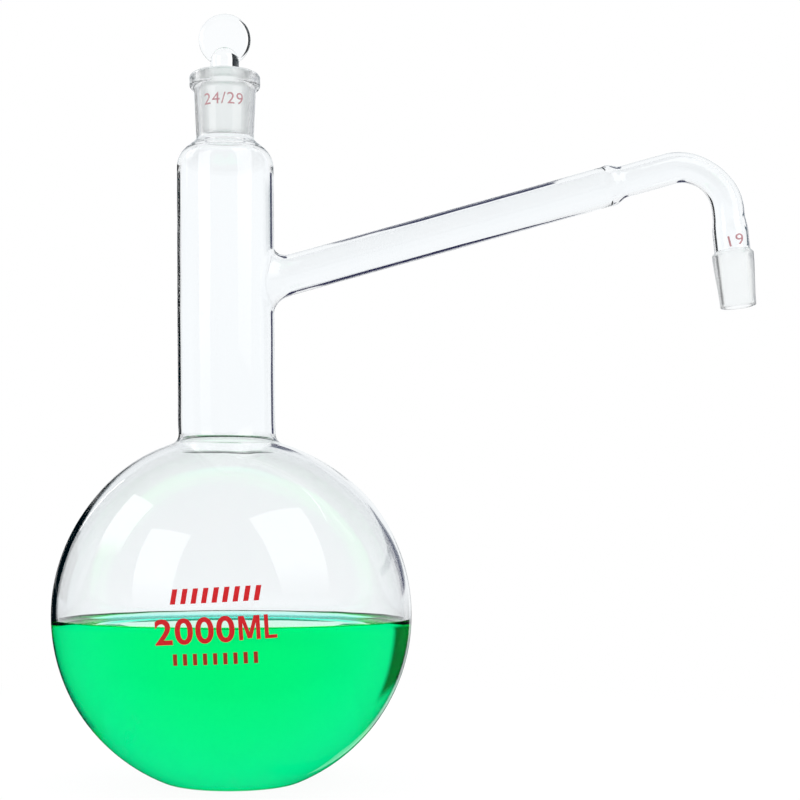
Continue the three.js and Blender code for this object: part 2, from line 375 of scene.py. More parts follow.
def tube_radii():
    """Outer and inner radius along the tube, as keys, and where its ground cone starts."""
    leg_start = from_corner(corner_to_bend() + 3)
    cone_start = from_corner(LEG_LENGTH)
    cone_end = from_corner(LEG_LENGTH + CONE_LENGTH)
    outer = [
        (FLARE_END, ARM_RADIUS),
        (ARM_END, ARM_RADIUS),
        (ARM_END + 2.4, ARM_RADIUS + 0.3),
        (REDUCER_END + 1, TUBE_RADIUS),
        (leg_start, TUBE_RADIUS),
        (leg_start + 7, LEG_RADIUS),
        (cone_start, LEG_RADIUS),
        (cone_start + 2, CONE_WIDE),
        (cone_end - 0.6, CONE_NARROW + 0.03),
        (cone_end, CONE_NARROW - 0.4),
    ]
    inner = [
        (FLARE_END, ARM_BORE),
        (ARM_END, ARM_BORE),
        (REDUCER_END + 1, TUBE_BORE),
        (leg_start, TUBE_BORE),
        (leg_start + 7, LEG_BORE),
        (cone_end - 0.5, LEG_BORE),
        (cone_end, LEG_BORE + 0.3),
    ]
    return outer, inner, cone_start, cone_end


def tube_runs(cone_start, cone_end):
    """Where the tube has rings: closer together where its radius or its heading changes."""
    bend_start = ARM_TO_CORNER - corner_to_bend()
    bend_end = bend_start + BEND_RADIUS * bend_sweep()
    stretches = [
        (FLARE_END, ARM_END, 4.0),
        (ARM_END, REDUCER_END, 0.4),
        (REDUCER_END, REDUCER_END + 1, 0.3),
        (REDUCER_END + 1, bend_start, 3.0),
        (bend_start, bend_end, 1.2),
        (bend_end, cone_start, 1.2),
        (cone_start, cone_start + 2, 0.25),
        (cone_start + 2, cone_end - 0.6, 2.0),
        (cone_end - 0.6, cone_end, 0.15),
    ]
    runs = [FLARE_END]
    for start, end, spacing in stretches:
        steps = round((end - start) / spacing)
        runs.extend(np.linspace(start, end, steps + 1)[1:].tolist())
    return runs


def arm_root(skin, rows, neck, radius, wall):
    """The flare by which one wall of the arm grows out of one wall of the neck. The inner wall
    keeps its distance from the outer one, so its flare is larger by the wall's thickness."""
    spread, flare_reach = FLARE_SPREAD + wall, FLARE_REACH + wall
    turns = np.linspace(0, 2 * math.pi, ARM_COLUMNS, endpoint=False)
    edge = patch_edge(rows)
    rim = [skin.points[i] for i in edge]
    foot = [arm_point(seat(neck, radius + spread, a), radius + spread, a) for a in turns]
    rings = [edge]
    steps = 10
    for step in range(1, steps + 1):
        share = step / steps
        points = []
        for start, end in zip(rim, foot):
            from_angle = math.atan2(start[1], start[0])
            angle = from_angle + share * (math.atan2(end[1], end[0]) - from_angle)
            height = start[2] + share * (end[2] - start[2])
            points.append((neck * math.cos(angle), neck * math.sin(angle), height))
        rings.append(skin.ring(points))
    steps = 12
    for step in range(1, steps + 1):
        sweep = step / steps * math.pi / 2
        around = radius + spread * (1 - math.sin(sweep))
        reach = flare_reach * (1 - math.cos(sweep))
        rings.append(
            skin.ring([arm_point(seat(neck, around, a) + reach, around, a) for a in turns])
        )
    steps = 4
    for step in range(1, steps):
        share = step / steps
        points = []
        for a in turns:
            start = seat(neck, radius, a) + flare_reach
            points.append(arm_point(start + share * (FLARE_END - start), radius, a))
        rings.append(skin.ring(points))
    return rings


# ---- flask --------------------------------------------------------------------------------


def blown(point, inside):
    """Moves a point as hand work does: slow waves in the whole wall and ripples on its inside.
    The base, the socket and the cone are ground true, so they keep their shape."""
    x, _, z = point
    if x > 60:
        share = between(x, 235, 205)
    else:
        share = between(z, 0, 20) * between(z, NECK_HEAD + 8, NECK_HEAD - 4)
    waves = noise.noise_vector(Vector(point) / 38) * 0.16
    if inside:
        waves += noise.noise_vector(Vector((x / 9, point[1] / 9, z / 22))) * 0.035
    return out_of_true(Vector(point) + waves * share)


def patch_rows(outline, radius, low, high):
    """The ring numbers of the rows that the side arm replaces, in one wall of the neck."""
    return [
        i - 1
        for i, (r, z) in enumerate(outline)
        if abs(r - radius) < 1e-6 and low - 1e-6 <= z <= high + 1e-6
    ]


def flask_glass(materials):
    """The whole flask as one closed skin: its outside, over the rim, and back down its inside."""
    bore = NECK_RADIUS - NECK_WALL
    middle = ARM_CROSSING + NECK_RADIUS * math.tan(ARM_RISE)
    patch_low, patch_high = middle - 24, middle + 24
    inner_fillet = THROAT_FILLET + NECK_WALL
    outer_bulb = bulb_wall(BULB_RADIUS, 0, BASE_PUNT, BASE_EDGE, NECK_RADIUS, THROAT_FILLET)
    inner_bulb = bulb_wall(
        BULB_RADIUS - BULB_WALL, BASE_THICKNESS, BASE_PUNT / 2, BASE_EDGE - 2, bore, inner_fillet
    )
    outer_neck = neck_wall(NECK_RADIUS, outer_bulb[-1][1], patch_low, patch_high, NECK_HEAD)
    inner_neck = neck_wall(bore, inner_bulb[-1][1], patch_low, patch_high, NECK_HEAD)
    deep_fillet = SOCKET_OUTER_FOOT + SHOULDER_FILLET - SOCKET_NARROW
    outside = chain(
        outer_bulb, outer_neck, shoulder_wall(SHOULDER_RADIUS, SHOULDER_FILLET), socket_outside()
    )
    mouth = socket_bore()
    inside = chain(
        mouth,
        shoulder_wall(SHOULDER_RADIUS - SHOULDER_WALL, deep_fillet)[::-1],
        inner_neck[::-1],
        inner_bulb[::-1],
    )

    skin = Skin()
    angles = np.linspace(0, 2 * math.pi, COLUMNS, endpoint=False)
    outline = outside + inside
    rings = [
        skin.ring([(r * math.cos(a), r * math.sin(a), z) for a in angles])
        for r, z in outline[1:-1]
    ]
    outer_patch = patch_rows(outline, NECK_RADIUS, patch_low, patch_high)
    inner_patch = patch_rows(outline, bore, patch_low, patch_high)
    bore_rows = range(len(outside) + 3, len(outside) + len(mouth) - 1)
    gap = [c % COLUMNS for c in range(-PATCH_HALF, PATCH_HALF)]
    for i in range(len(rings) - 1):
        in_patch = all(k in outer_patch for k in (i, i + 1)) or all(
            k in inner_patch for k in (i, i + 1)
        )
        kind = GROUND if i in bore_rows else CLEAR
        skin.band(rings[i], rings[i + 1], kind, gap if in_patch else ())
    skin.cap(rings[0], (0, 0, outline[0][1]))
    skin.cap(rings[-1], (0, 0, outline[-1][1]))
    outer_rows = [rings[i] for i in outer_patch]
    inner_rows = [rings[i] for i in reversed(inner_patch)]
    turned_points = len(skin.points)

    outer_keys, inner_keys, cone_start, cone_end = tube_radii()
    outer = arm_root(skin, outer_rows, NECK_RADIUS, ARM_RADIUS, 0)
    outer_root_points = len(skin.points)
    inner = arm_root(skin, inner_rows, bore, ARM_BORE, NECK_WALL)
    inner_root_points = len(skin.points)
    runs = tube_runs(cone_start, cone_end)
    kinds = [CLEAR] * len(outer)
    for run in runs:
        outer.append(skin.ring(tube_ring(run, eased(outer_keys, run))))
        kinds.append(GROUND if run > cone_start + 1.2 else CLEAR)
    outer_tube_points = len(skin.points)
    inner += [skin.ring(tube_ring(run, eased(inner_keys, run))) for run in runs]
    for i in range(len(outer) - 1):
        skin.band(outer[i], outer[i + 1], kinds[i])
        skin.band(inner[i], inner[i + 1])
    skin.band(outer[-1], inner[-1])

    inside_from = rings[len(outside) - 1][0]
    for i, point in enumerate(skin.points):
        is_inside = inside_from <= i < turned_points
        is_inside = is_inside or outer_root_points <= i < inner_root_points
        is_inside = is_inside or i >= outer_tube_points
        skin.points[i] = blown(point, is_inside)
    return skin.build("flask_glass", materials)


# ---- liquid -------------------------------------------------------------------------------


def liquid(material):
    """The liquid, with the meniscus that climbs the wall."""
    wall = BULB_RADIUS - BULB_WALL
    radius = wall + LIQUID_OVERLAP
    floor = BASE_THICKNESS - LIQUID_OVERLAP
    edge = BASE_EDGE - 2 + LIQUID_OVERLAP
    edge_x = math.sqrt((radius - edge) ** 2 - (BULB_CENTRE - floor - edge) ** 2)
    edge_angle = math.atan2(floor + edge - BULB_CENTRE, edge_x)
    top = LIQUID_LEVEL + MENISCUS_HEIGHT
    top_angle = math.asin((top - BULB_CENTRE) / radius)
    punt = BASE_PUNT / 2
    floor_steps = np.linspace(0, edge_x, 12)
    from_wall = [24, 18, 14, 11, 9, 7.5, 6.2, 5.1, 4.2, 3.4, 2.7, 2.1, 1.6, 1.2, 0.8, 0.5, 0.25, 0]
    surface = [
        (wall - d, LIQUID_LEVEL + MENISCUS_HEIGHT * math.exp(-d / MENISCUS_WIDTH))
        for d in reversed(from_wall)
    ]
    outline = chain(
        [(x, floor + punt * (0.5 + 0.5 * math.cos(math.pi * x / edge_x))) for x in floor_steps],
        arc(edge_x, floor + edge, edge, -math.pi / 2, edge_angle, 1.0),
        arc(0, BULB_CENTRE, radius, edge_angle, top_angle, 3.6),
        surface,
        line((wall - from_wall[0], LIQUID_LEVEL), (0, LIQUID_LEVEL), 6.0),
    )
    skin = Skin()
    skin.lathe(outline, COLUMNS)
    skin.points = [out_of_true(point) for point in skin.points]
    return skin.build("green_liquid", [material])


# ---- stopper ------------------------------------------------------------------------------


def stopper(materials):
    """The ground plug, its domed stem and its flat round head, as one piece of solid glass."""
    slope = (SOCKET_WIDE - SOCKET_NARROW) / (SOCKET_TOP - SOCKET_FOOT)
    edge = 1.0

    def radius_at(z):
        return SOCKET_NARROW + slope * (z - SOCKET_FOOT) - PLUG_CLEARANCE

    dome = STEM_APEX - STEM_RADIUS
    foot_x = radius_at(PLUG_FOOT + edge) - edge
    top_x = radius_at(PLUG_TOP)
    outline = chain(
        line((0, PLUG_FOOT), (foot_x, PLUG_FOOT), 2.5),
        arc(foot_x, PLUG_FOOT + edge, edge, -math.pi / 2, 0, 0.25),
        line((radius_at(PLUG_FOOT + edge), PLUG_FOOT + edge), (top_x, PLUG_TOP - 0.6), 2.0),
        arc(top_x - 0.6, PLUG_TOP - 0.6, 0.6, 0, math.pi / 2, 0.2),
        arc(STEM_RADIUS + 3.2, PLUG_TOP + 3.2, 3.2, -math.pi / 2, -math.pi, 0.4),
        line((STEM_RADIUS, PLUG_TOP + 3.2), (STEM_RADIUS, dome), 1.5),
        arc(0, dome, STEM_RADIUS, 0, math.pi / 2, 0.5),
    )
    ground_top = PLUG_TOP - 0.5
    ground = [
        i
        for i, (r, z) in enumerate(outline[1:-1])
        if PLUG_FOOT <= z < ground_top and r > foot_x - 0.01
    ]
    skin = Skin()
    skin.lathe(outline, 96, kinds=lambda i: GROUND if i in ground else CLEAR)
    skin.points = [out_of_true(point) for point in skin.points]
    body = skin.build("stopper", materials)

    head = Skin()
    round_edge = HEAD_HALF - 0.2
    face_x = HEAD_RADIUS - round_edge
    face = [
        (x, HEAD_HALF - 0.15 * (0.5 + 0.5 * math.cos(math.pi * x / face_x))
         + 0.02 * math.sin(2 * math.pi * x / 3.1) * (1 - x / face_x))
        for x in np.linspace(0, face_x, 26)
    ]
    outline = chain(
        [(x, -y) for x, y in face],
        arc(face_x, -HEAD_HALF + round_edge, round_edge, -math.pi / 2, 0, 0.4),
        arc(face_x, HEAD_HALF - round_edge, round_edge, 0, math.pi / 2, 0.4),
        face[::-1],
    )
    head.lathe(outline, 96)
    head.points = [out_of_true((x, -z, y + HEAD_CENTRE)) for x, y, z in head.points]
    disc = head.build("stopper_head_form", materials)
    union = body.modifiers.new("union", "BOOLEAN")
    union.operation = "UNION"
    union.solver = "EXACT"
    union.object = disc
    apply_modifiers(body)
    bpy.data.objects.remove(disc)
    body.data.shade_smooth()
    return body


def apply_modifiers(piece):
    """Puts the result of a piece's modifiers in its mesh."""
    evaluated = piece.evaluated_get(bpy.context.evaluated_depsgraph_get())
    made = bpy.data.meshes.new_from_object(evaluated)
    piece.modifiers.clear()
    old = piece.data
    piece.data = made
    made.name = old.name
    bpy.data.meshes.remove(old)


# ---- prints -------------------------------------------------------------------------------


def print_mesh(name, words, weight, spacing):
    """Words as a flat solid mesh in XY. The weight thickens the strokes."""
    curve = bpy.data.curves.new(name, "FONT")
    curve.body = words
    curve.extrude = 0.5
    curve.offset = weight
    curve.space_character = spacing
    text = bpy.data.objects.new(name, curve)
    bpy.context.scene.collection.objects.link(text)
    mesh = bpy.data.meshes.new_from_object(text.evaluated_get(bpy.context.evaluated_depsgraph_get()))
    bpy.data.objects.remove(text)
    bpy.data.curves.remove(curve)
    return mesh


def slab_mesh(name, outlines):
    """Flat outlines as one solid mesh in XY."""
    shell = bmesh.new()
    for outline in outlines:
        low = [shell.verts.new((x, y, -0.5)) for x, y in outline]
        high = [shell.verts.new((x, y, 0.5)) for x, y in outline]
        shell.faces.new(low[::-1])
        shell.faces.new(high)
        for i in range(len(outline)):
            j = (i + 1) % len(outline)
            shell.faces.new((low[i], low[j], high[j], high[i]))
    mesh = bpy.data.meshes.new(name)
    shell.to_mesh(mesh)
    shell.free()
    return mesh


def dash_mesh(name, count, share, slant):
    """A row of slanted dashes, each as wide as its share of the pitch."""
    corners = ((0, 0), (share, 0), (share + slant, 1), (slant, 1))
    return slab_mesh(name, [[(x + i, y) for x, y in corners] for i in range(count)])


def unit_mesh(name):
    """The letters of millilitre in plain block capitals."""
    stroke, wide, gap = 0.17, 0.9, 0.18
    letter_m = [
        (0, 0), (0, 1), (0.24, 1), (wide / 2, 0.34), (wide - 0.24, 1), (wide, 1), (wide, 0),
        (wide - stroke, 0), (wide - stroke, 0.7), (wide / 2 + 0.09, 0.06),
        (wide / 2 - 0.09, 0.06), (stroke, 0.7), (stroke, 0),
    ]
    foot = wide + gap
    letter_l = [
        (foot, 0), (foot, 1), (foot + stroke, 1), (foot + stroke, stroke * 0.85),
        (foot + 0.52, stroke * 0.85), (foot + 0.52, 0),
    ]
    return slab_mesh(name, [letter_m, letter_l])


def printed(mesh, material, width, height, rise, right, place):
    """Fits a flat mesh to a width and height, moves it to the right along its line, turns that
    line up by a rise in degrees, and lays it on a surface. place turns a point of the flat print
    and its depth, all in millimetres, into a point of the object."""
    tilt = math.radians(rise)
    thickness = 0.06
    finest = 1.6
    shell = bmesh.new()
    shell.from_mesh(mesh)
    bmesh.ops.remove_doubles(shell, verts=shell.verts, dist=1e-5)
    low = Vector(map(min, zip(*(v.co for v in shell.verts))))
    high = Vector(map(max, zip(*(v.co for v in shell.verts))))
    middle = (low + high) / 2
    for v in shell.verts:
        x = (v.co.x - middle.x) / (high.x - low.x) * width + right
        y = (v.co.y - middle.y) / (high.y - low.y) * height
        v.co = (x, y, (v.co.z - middle.z) / (high.z - low.z) * thickness)
    for _ in range(6):
        bmesh.ops.triangulate(shell, faces=shell.faces)
        long_edges = [e for e in shell.edges if e.calc_length() > finest]
        if not long_edges:
            break
        bmesh.ops.subdivide_edges(shell, edges=long_edges, cuts=1)
    bmesh.ops.dissolve_degenerate(shell, dist=0.002, edges=shell.edges)
    bmesh.ops.triangulate(shell, faces=shell.faces)
    for v in shell.verts:
        x, y, depth = v.co
        across = x * math.cos(tilt) - y * math.sin(tilt)
        along = x * math.sin(tilt) + y * math.cos(tilt)
        v.co = Vector(out_of_true(place(across, along, depth + thickness / 2 + 0.02))) * MM
    bmesh.ops.recalc_face_normals(shell, faces=shell.faces)
    shell.to_mesh(mesh)
    shell.free()
    mesh.materials.append(material)
    piece = bpy.data.objects.new(mesh.name, mesh)
    bpy.context.scene.collection.objects.link(piece)
    return piece


def on_bulb(height):
    """Lays a print on the front of the bulb, centred under the neck at a height."""

    def place(along_x, along_z, depth):
        across = along_x - BULB_RUNOUT
        z = height + along_z - BULB_CENTRE
        y = -math.sqrt(BULB_RADIUS**2 - across**2 - z**2)
        share = 1 + (depth + 0.12) / BULB_RADIUS
        return across * share, y * share, BULB_CENTRE + z * share

    return place


def on_socket(height):
    """Lays a print around the front of the socket."""

    def place(across, along, depth):
        z = height + along
        share = (z - SOCKET_FOOT) / (SOCKET_TOP - RIM_HEIGHT - 1 - SOCKET_FOOT)
        radius = SOCKET_OUTER_FOOT + share * (SOCKET_OUTER_HEAD - SOCKET_OUTER_FOOT) + depth
        angle = across / radius
        return radius * math.sin(angle), -radius * math.cos(angle), z

    return place


def on_leg(length):
    """Lays a print around the front of the down leg, at a distance from the tube's corner."""
    centre, side, _ = tube_station(from_corner(length))
    down = Vector((side.y, -side.x))

    def place(across, along, depth):
        radius = LEG_RADIUS + depth + 0.1
        angle = across / radius
        point = centre + side * radius * math.sin(angle) - down * along
        return point.x, -radius * math.cos(angle), point.y

    return place


# ---- materials ----------------------------------------------------------------------------


class Nodes:
    """A short way to write a node tree."""

    def __init__(self, owner):
        owner.use_nodes = True
        self.tree = owner.node_tree
        self.tree.nodes.clear()

    def add(self, kind, settings=None, **inputs):
        node = self.tree.nodes.new(kind)
        for key, value in (settings or {}).items():
            setattr(node, key, value)
        for key, value in inputs.items():
            socket = node.inputs[int(key[1:])] if key[0] == "i" and key[1:].isdigit() else None
            self.feed(socket or node.inputs[key.replace("_", " ")], value)
        return node

    def feed(self, socket, value):
        if isinstance(value, bpy.types.NodeSocket):
            self.tree.links.new(value, socket)
        else:
            socket.default_value = value

    def math(self, operation, *values):
        node = self.add("ShaderNodeMath", {"operation": operation})
        for i, value in enumerate(values):
            self.feed(node.inputs[i], value)
        return node.outputs[0]

    def ramp(self, value, low, high, to_low, to_high, smooth=False):
        kind = "SMOOTHSTEP" if smooth else "LINEAR"
        node = self.add(
            "ShaderNodeMapRange",
            {"interpolation_type": kind},
            i0=value, i1=low, i2=high, i3=to_low, i4=to_high,
        )
        return node.outputs[0]

    def noise(self, scale, detail=2.0, stretch=(1, 1, 1)):
        """Noise in the object's own metres, at so many features a metre."""
        place = self.add("ShaderNodeTexCoord").outputs["Object"]
        mapping = self.add("ShaderNodeMapping", i0=place)
        mapping.inputs["Scale"].default_value = stretch
        node = self.add(
            "ShaderNodeTexNoise", Vector=mapping.outputs[0], Scale=scale, Detail=detail
        )
        return node.outputs["Fac"]

    def mix(self, share, one, other):
        node = self.add("ShaderNodeMix", {"data_type": "RGBA"})
        self.feed(node.inputs[0], share)
        self.feed(node.inputs[6], one)
        self.feed(node.inputs[7], other)
        return node.outputs[2]


def clear_glass():
    """Borosilicate glass: colourless, with drawn striae and a few wipe marks."""
    material = bpy.data.materials.new("clear_glass")
    nodes = Nodes(material)
    striae = nodes.noise(30, 3, (3, 3, 0.6))
    wiped = nodes.noise(90, 4)
    bump = nodes.add("ShaderNodeBump", Strength=0.25, Distance=0.00002, Height=striae)
    shader = nodes.add(
        "ShaderNodeBsdfPrincipled",
        IOR=1.473,
        Transmission_Weight=1.0,
        Base_Color=nodes.mix(striae, (0.97, 0.985, 0.995, 1), (0.985, 0.995, 1.0, 1)),
        Roughness=nodes.ramp(wiped, 0.55, 0.8, 0.0, 0.008),
        Normal=bump.outputs[0],
    )
    nodes.add("ShaderNodeOutputMaterial", Surface=shader.outputs[0])
    return material


def ground_glass():
    """Glass that has been ground with fine grit: white where dry, with faint turning marks."""
    material = bpy.data.materials.new("ground_glass")
    nodes = Nodes(material)
    grit = nodes.noise(5200, 3)
    rings = nodes.noise(900, 2, (0.05, 0.05, 1))
    height = nodes.math("ADD", grit, nodes.math("MULTIPLY", rings, 0.6))
    bump = nodes.add("ShaderNodeBump", Strength=0.35, Distance=0.00004, Height=height)
    shader = nodes.add(
        "ShaderNodeBsdfPrincipled",
        IOR=1.473,
        Transmission_Weight=1.0,
        Base_Color=nodes.mix(rings, (0.975, 0.99, 0.985, 1), (0.99, 1.0, 0.995, 1)),
        Roughness=nodes.ramp(grit, 0.3, 0.7, 0.24, 0.34),
        Normal=bump.outputs[0],
    )
    nodes.add("ShaderNodeOutputMaterial", Surface=shader.outputs[0])
    return material


def green_liquid():
    """Water with a green dye: what it takes out grows with the depth that light crosses. Against
    glass it reflects an eighth of what it does against air, hence the tint."""
    material = bpy.data.materials.new("green_liquid")
    nodes = Nodes(material)
    ripple = nodes.noise(14, 2)
    bump = nodes.add("ShaderNodeBump", Strength=0.05, Distance=0.0001, Height=ripple)
    shader = nodes.add(
        "ShaderNodeBsdfPrincipled",
        IOR=1.333,
        Transmission_Weight=1.0,
        Roughness=0.0,
        Specular_Tint=(0.12, 0.12, 0.12, 1),
        Base_Color=nodes.mix(ripple, (0.96, 1.0, 0.97, 1), (1.0, 1.0, 1.0, 1)),
        Normal=bump.outputs[0],
    )
    dye = nodes.add("ShaderNodeVolumeAbsorption", Color=(0.0, 0.9992, 0.9525, 1), Density=200.0)
    nodes.add("ShaderNodeOutputMaterial", Surface=shader.outputs[0], Volume=dye.outputs[0])
    return material


def enamel(name, colour, pale):
    """Fired enamel: opaque and a little glossy, thinner in places."""
    material = bpy.data.materials.new(name)
    nodes = Nodes(material)
    worn = nodes.noise(1400, 3)
    share = nodes.ramp(worn, 0.4, 0.75, 0, 1)
    bump = nodes.add("ShaderNodeBump", Strength=0.3, Distance=0.00003, Height=worn)
    shader = nodes.add(
        "ShaderNodeBsdfPrincipled",
        Base_Color=nodes.mix(share, colour, pale),
        Roughness=nodes.ramp(worn, 0.3, 0.7, 0.45, 0.6),
        Specular_IOR_Level=0.25,
        Normal=bump.outputs[0],
    )
    nodes.add("ShaderNodeOutputMaterial", Surface=shader.outputs[0])
    return material


# ---- stage --------------------------------------------------------------------------------


def card(nodes, heading, elevation, headings, elevations, soft):
    """How much of a direction falls on a card that fills these angles, with soft edges."""
    share = 1.0
    for angle, (low, high) in ((heading, headings), (elevation, elevations)):
        rises = nodes.ramp(angle, *map(math.radians, (low - soft, low + soft)), 0, 1, True)
        falls = nodes.ramp(angle, *map(math.radians, (high - soft, high + soft)), 1, 0, True)
        share = nodes.math("MULTIPLY", nodes.math("MULTIPLY", rises, falls), share)
    return share


# Shades of the studio's cards and of its dim parts.
WHITE = (1, 1, 1, 1)
ROOM = (1.02, 1.025, 1.03, 1)
ROOM_ASIDE, ROOM_AHEAD = (0.40, 0.46, 0.50, 1), (0.85, 0.88, 0.90, 1)
FRONT_DIM = (0.17, 0.19, 0.2, 1)
FLOOR_DARK = (0.004, 0.006, 0.008, 1)
BLACK = (0.0, 0.003, 0.005, 1)
NAVY = (0.02, 0.02, 0.075, 1)
TEAL = (0.0, 0.05, 0.08, 1)
GREY = (0.55, 0.60, 0.64, 1)
DUSK = (0.45, 0.53, 0.58, 1)
BOTTLE_GREEN = (0.0, 0.004, 0.012, 1)
NECK_TOP = 14.9  # elevation in degrees of the rays that meet the head of the neck


def depth_within(nodes, value, low, high):
    """1 where a whole-numbered ray depth lies from low to high, else 0."""
    return nodes.math("COMPARE", value, (low + high) / 2, (high - low) / 2 + 0.1)


def ray_kinds(nodes):
    """What a ray met before it left the glass, as factors from 0 to 1: only the outside of the
    glass (mirrored), solid glass, one wall that it also bounced in, the liquid's inner face (wet),
    the filled bulb or the socket (filled), and the last of these after a single bounce
    (filled_once)."""
    path = nodes.add("ShaderNodeLightPath")
    crossed = path.outputs["Transmission Depth"]
    glances = path.outputs["Glossy Depth"]
    sharp = nodes.math("LESS_THAN", path.outputs["Diffuse Depth"], 0.5)
    one_wall = nodes.math("MULTIPLY", depth_within(nodes, crossed, 1, 3), sharp)
    solid = nodes.math("MULTIPLY", one_wall, depth_within(nodes, glances, 0, 0))
    filled = nodes.math("MULTIPLY", depth_within(nodes, crossed, 5, 90), sharp)
    once = depth_within(nodes, glances, 1, 1)
    return {
        "mirrored": nodes.math("MULTIPLY", depth_within(nodes, crossed, 0, 0), sharp),
        "solid": solid,
        "bounced": nodes.math("SUBTRACT", one_wall, solid),
        "wet": nodes.math("MULTIPLY", depth_within(nodes, crossed, 4, 4), once),
        "filled": filled,
        "filled_once": nodes.math("MULTIPLY", filled, once),
        "direct": path.outputs["Is Camera Ray"],
    }


def edge_cards(nodes, kinds, heading, elevation, colour):
    """Dark cards behind the object, which draw the edges of the glass. Each is seen by one kind
    of ray and has a range of headings and of elevations in degrees, a soft margin and a shade."""
    lean = nodes.math("MULTIPLY_ADD", elevation, math.sin(ARM_RISE), -0.05)
    beside_arm = nodes.math("ADD", heading, lean)
    cards = [
        ("filled", heading, (-66, -41), (-3, 18), 2.5, BOTTLE_GREEN),
        ("solid", heading, (-78, -25), (-12, 40), 0.5, BLACK),
        ("bounced", heading, (-38, -8), (-9, NECK_TOP), 0.5, BLACK),
        ("bounced", heading, (20, 36), (1.5, NECK_TOP), 0.5, NAVY),
        ("bounced", heading, (33, 60), (11.0, 13.6), 0.5, TEAL),
        ("bounced", beside_arm, (0.3, 10.7), (20, 60), 0.5, NAVY),
        ("bounced", beside_arm, (0.3, 10.7), (-60, -3), 0.5, NAVY),
        ("bounced", heading, (80, 179), (-45, 6), 6, GREY),
        ("bounced", heading, (-179, -95), (-45, 6), 6, GREY),
        ("mirrored", heading, (-78, -50), (-12, 40), 3, DUSK),
        ("mirrored", heading, (-56, -14), (1.5, NECK_TOP), 0.5, BLACK),
        ("mirrored", heading, (-36, -12), (-9, 1.5), 0.5, BLACK),
        ("mirrored", heading, (30, 43), (1.5, NECK_TOP), 0.5, NAVY),
        ("mirrored", beside_arm, (0.3, 10.7), (22, 46), 0.5, NAVY),
    ]
    for kind, angle, headings, elevations, soft, shade in cards:
        share = card(nodes, angle, elevation, headings, elevations, soft)
        colour = nodes.mix(nodes.math("MULTIPLY", share, kinds[kind]), colour, shade)
    return colour


def darkness_below(nodes, kinds, heading, elevation, height, colour):
    """The dark lower part of the studio, as the glass and the liquid reflect it. A lit gap keeps
    it off the glass under the bend."""
    low = nodes.ramp(height, -0.08, 0.03, 1, 0, True)
    deep = nodes.ramp(height, -0.5, -0.35, 1, 0, True)
    under_bend = card(nodes, heading, elevation, (11.3, 21), (-30, 10), 0.7)
    open_floor = nodes.math("SUBTRACT", kinds["mirrored"], under_bend)
    low_mirrored = nodes.math("MULTIPLY", low, open_floor)
    shares = (
        nodes.math("MAXIMUM", low_mirrored, 0.0),
        nodes.math("MULTIPLY", low, kinds["wet"]),
        nodes.math("MULTIPLY", deep, kinds["filled_once"]),
    )
    for share in shares:
        colour = nodes.mix(share, colour, FLOOR_DARK)
    return colour


def surroundings():
    """The studio: white wherever it is seen directly or through the glass, dim in front and
    dark below in reflections, with dark cards behind. Headings run from +Y towards +X."""
    world = bpy.data.worlds.new("studio")
    bpy.context.scene.world = world
    nodes = Nodes(world)
    direction = nodes.add("ShaderNodeTexCoord").outputs["Generated"]
    axes = nodes.add("ShaderNodeSeparateXYZ", i0=direction).outputs
    heading = nodes.math("ARCTAN2", axes["X"], axes["Y"])
    elevation = nodes.math("ARCSINE", axes["Z"])
    kinds = ray_kinds(nodes)
    facing = nodes.ramp(axes["Y"], 0.86, 0.96, 0, 1, True)
    seen_in_mirror = nodes.mix(facing, ROOM_ASIDE, ROOM_AHEAD)
    colour = nodes.mix(kinds["mirrored"], ROOM, seen_in_mirror)
    colour = edge_cards(nodes, kinds, heading, elevation, colour)
    front = nodes.ramp(axes["Y"], -0.4, 0.1, 1, 0, True)
    colour = nodes.mix(nodes.math("MULTIPLY", front, kinds["mirrored"]), colour, FRONT_DIM)
    colour = darkness_below(nodes, kinds, heading, elevation, axes["Z"], colour)
    colour = nodes.mix(kinds["direct"], colour, WHITE)
    background = nodes.add("ShaderNodeBackground", Color=colour, Strength=1.0)
    nodes.add("ShaderNodeOutputWorld", Surface=background.outputs[0])


def floor():
    """A round pale floor, lit from below like a light table, that fades into the white room."""
    radius = 0.6
    shell = bmesh.new()
    bmesh.ops.create_circle(shell, cap_ends=True, radius=radius, segments=96)
    mesh = bpy.data.meshes.new("floor")
    shell.to_mesh(mesh)
    shell.free()
    disc = bpy.data.objects.new("floor", mesh)
    disc.location.z = -0.0004
    disc.visible_glossy = False
    disc.visible_transmission = False
    bpy.context.scene.collection.objects.link(disc)
    material = bpy.data.materials.new("floor")
    nodes = Nodes(material)
    place = nodes.add("ShaderNodeTexCoord").outputs["Object"]
    reach = nodes.add("ShaderNodeVectorMath", {"operation": "LENGTH"}, i0=place)
    fade = nodes.ramp(reach.outputs["Value"], radius * 0.4, radius * 0.85, 0, 1, True)
    paper = nodes.add("ShaderNodeBsdfDiffuse", Color=(0.06, 0.06, 0.06, 1))
    table = nodes.add("ShaderNodeEmission", Color=(1, 1, 1, 1), Strength=0.95)
    both = nodes.add("ShaderNodeAddShader", i0=paper.outputs[0], i1=table.outputs[0])
    white = nodes.add("ShaderNodeEmission", Color=(1, 1, 1, 1), Strength=1.0)
    seen = nodes.add("ShaderNodeMixShader", i0=fade, i1=both.outputs[0], i2=white.outputs[0])
    nodes.add("ShaderNodeOutputMaterial", Surface=seen.outputs[0])
    mesh.materials.append(material)


